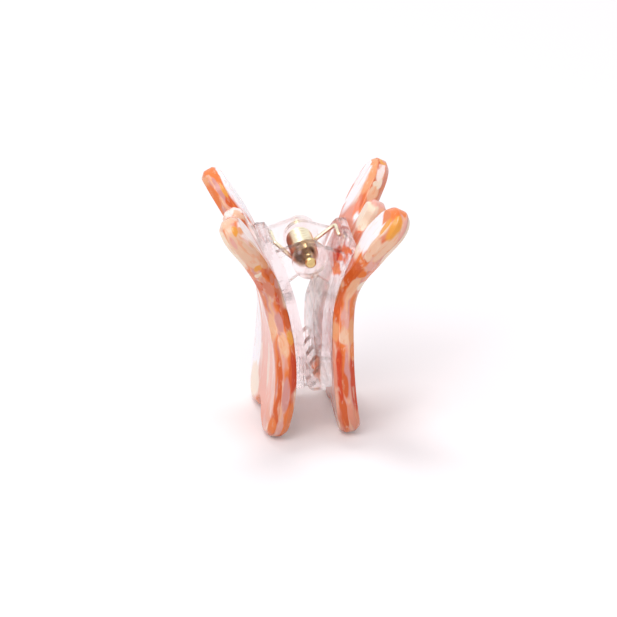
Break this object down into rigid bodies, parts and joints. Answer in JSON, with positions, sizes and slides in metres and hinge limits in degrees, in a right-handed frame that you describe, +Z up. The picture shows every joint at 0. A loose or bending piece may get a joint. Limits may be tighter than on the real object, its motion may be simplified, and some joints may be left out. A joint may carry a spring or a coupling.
{
  "type": "hair claw clip",
  "caption": "Small sprung claw clip: two bent butterfly plates of bevelled acetate on a clear moulded claw with interlocking teeth, a brass pin and a coiled torsion spring.",
  "frame": {"origin": "on the ground, midway between the four lower wing tips and below the hinge pin", "axes": "+Z up, +Y along the hinge pin away from the viewer, +X from the left jaw to the right jaw"},
  "size_m": [0.0352, 0.0306, 0.0458],
  "materials": {
    "acetate": "polished, marbled orange, coral and white",
    "clear_plastic": "clear, glossy",
    "pin_brass": "polished",
    "spring_brass": "polished wire"
  },
  "bodies": {
    "right_jaw": {"right_plate": "acetate", "right_frame": "clear_plastic", "hinge_pin": "pin_brass", "torsion_spring": "spring_brass"},
    "left_jaw": {"left_plate": "acetate", "left_frame": "clear_plastic"}
  },
  "joints": [
    {"name": "jaw_hinge", "type": "hinge", "parent": "right_jaw", "child": "left_jaw", "pos_m": [0, 0, 0.034], "axis": [0, 1, 0], "range_deg": [0, 60], "stiffness_Nm_per_rad": 0.015, "springref_deg": -40.11, "deforming": ["torsion_spring"]}
  ]
}
